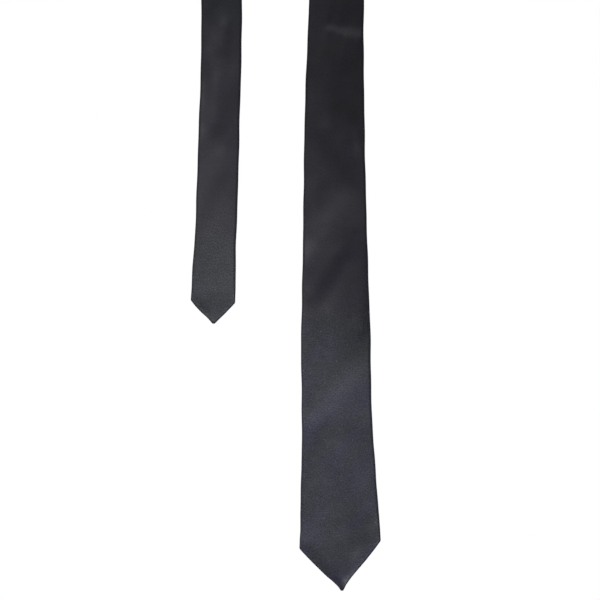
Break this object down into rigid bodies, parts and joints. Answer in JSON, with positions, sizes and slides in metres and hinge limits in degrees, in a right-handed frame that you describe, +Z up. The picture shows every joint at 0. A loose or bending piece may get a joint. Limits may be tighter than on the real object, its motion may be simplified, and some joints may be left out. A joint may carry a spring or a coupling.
{
  "type": "skinny tie",
  "caption": "Plain skinny necktie hung open round the neck, folded from cloth, with a pointed blade and a pointed tail side by side.",
  "frame": {"origin": "middle of the wearer's neck, level with the middle of the band at the nape", "axes": "+Z up, the wearer faces -Y, and the blade hangs on the +X side"},
  "size_m": [0.1468, 0.1388, 0.7354],
  "materials": {
    "tie_cloth": "smooth dark charcoal satin weave, cut on the bias, with a soft sheen"
  },
  "bodies": {
    "root": {"blade": "tie_cloth", "neckband": "tie_cloth", "tail": "tie_cloth"}
  },
  "joints": []
}
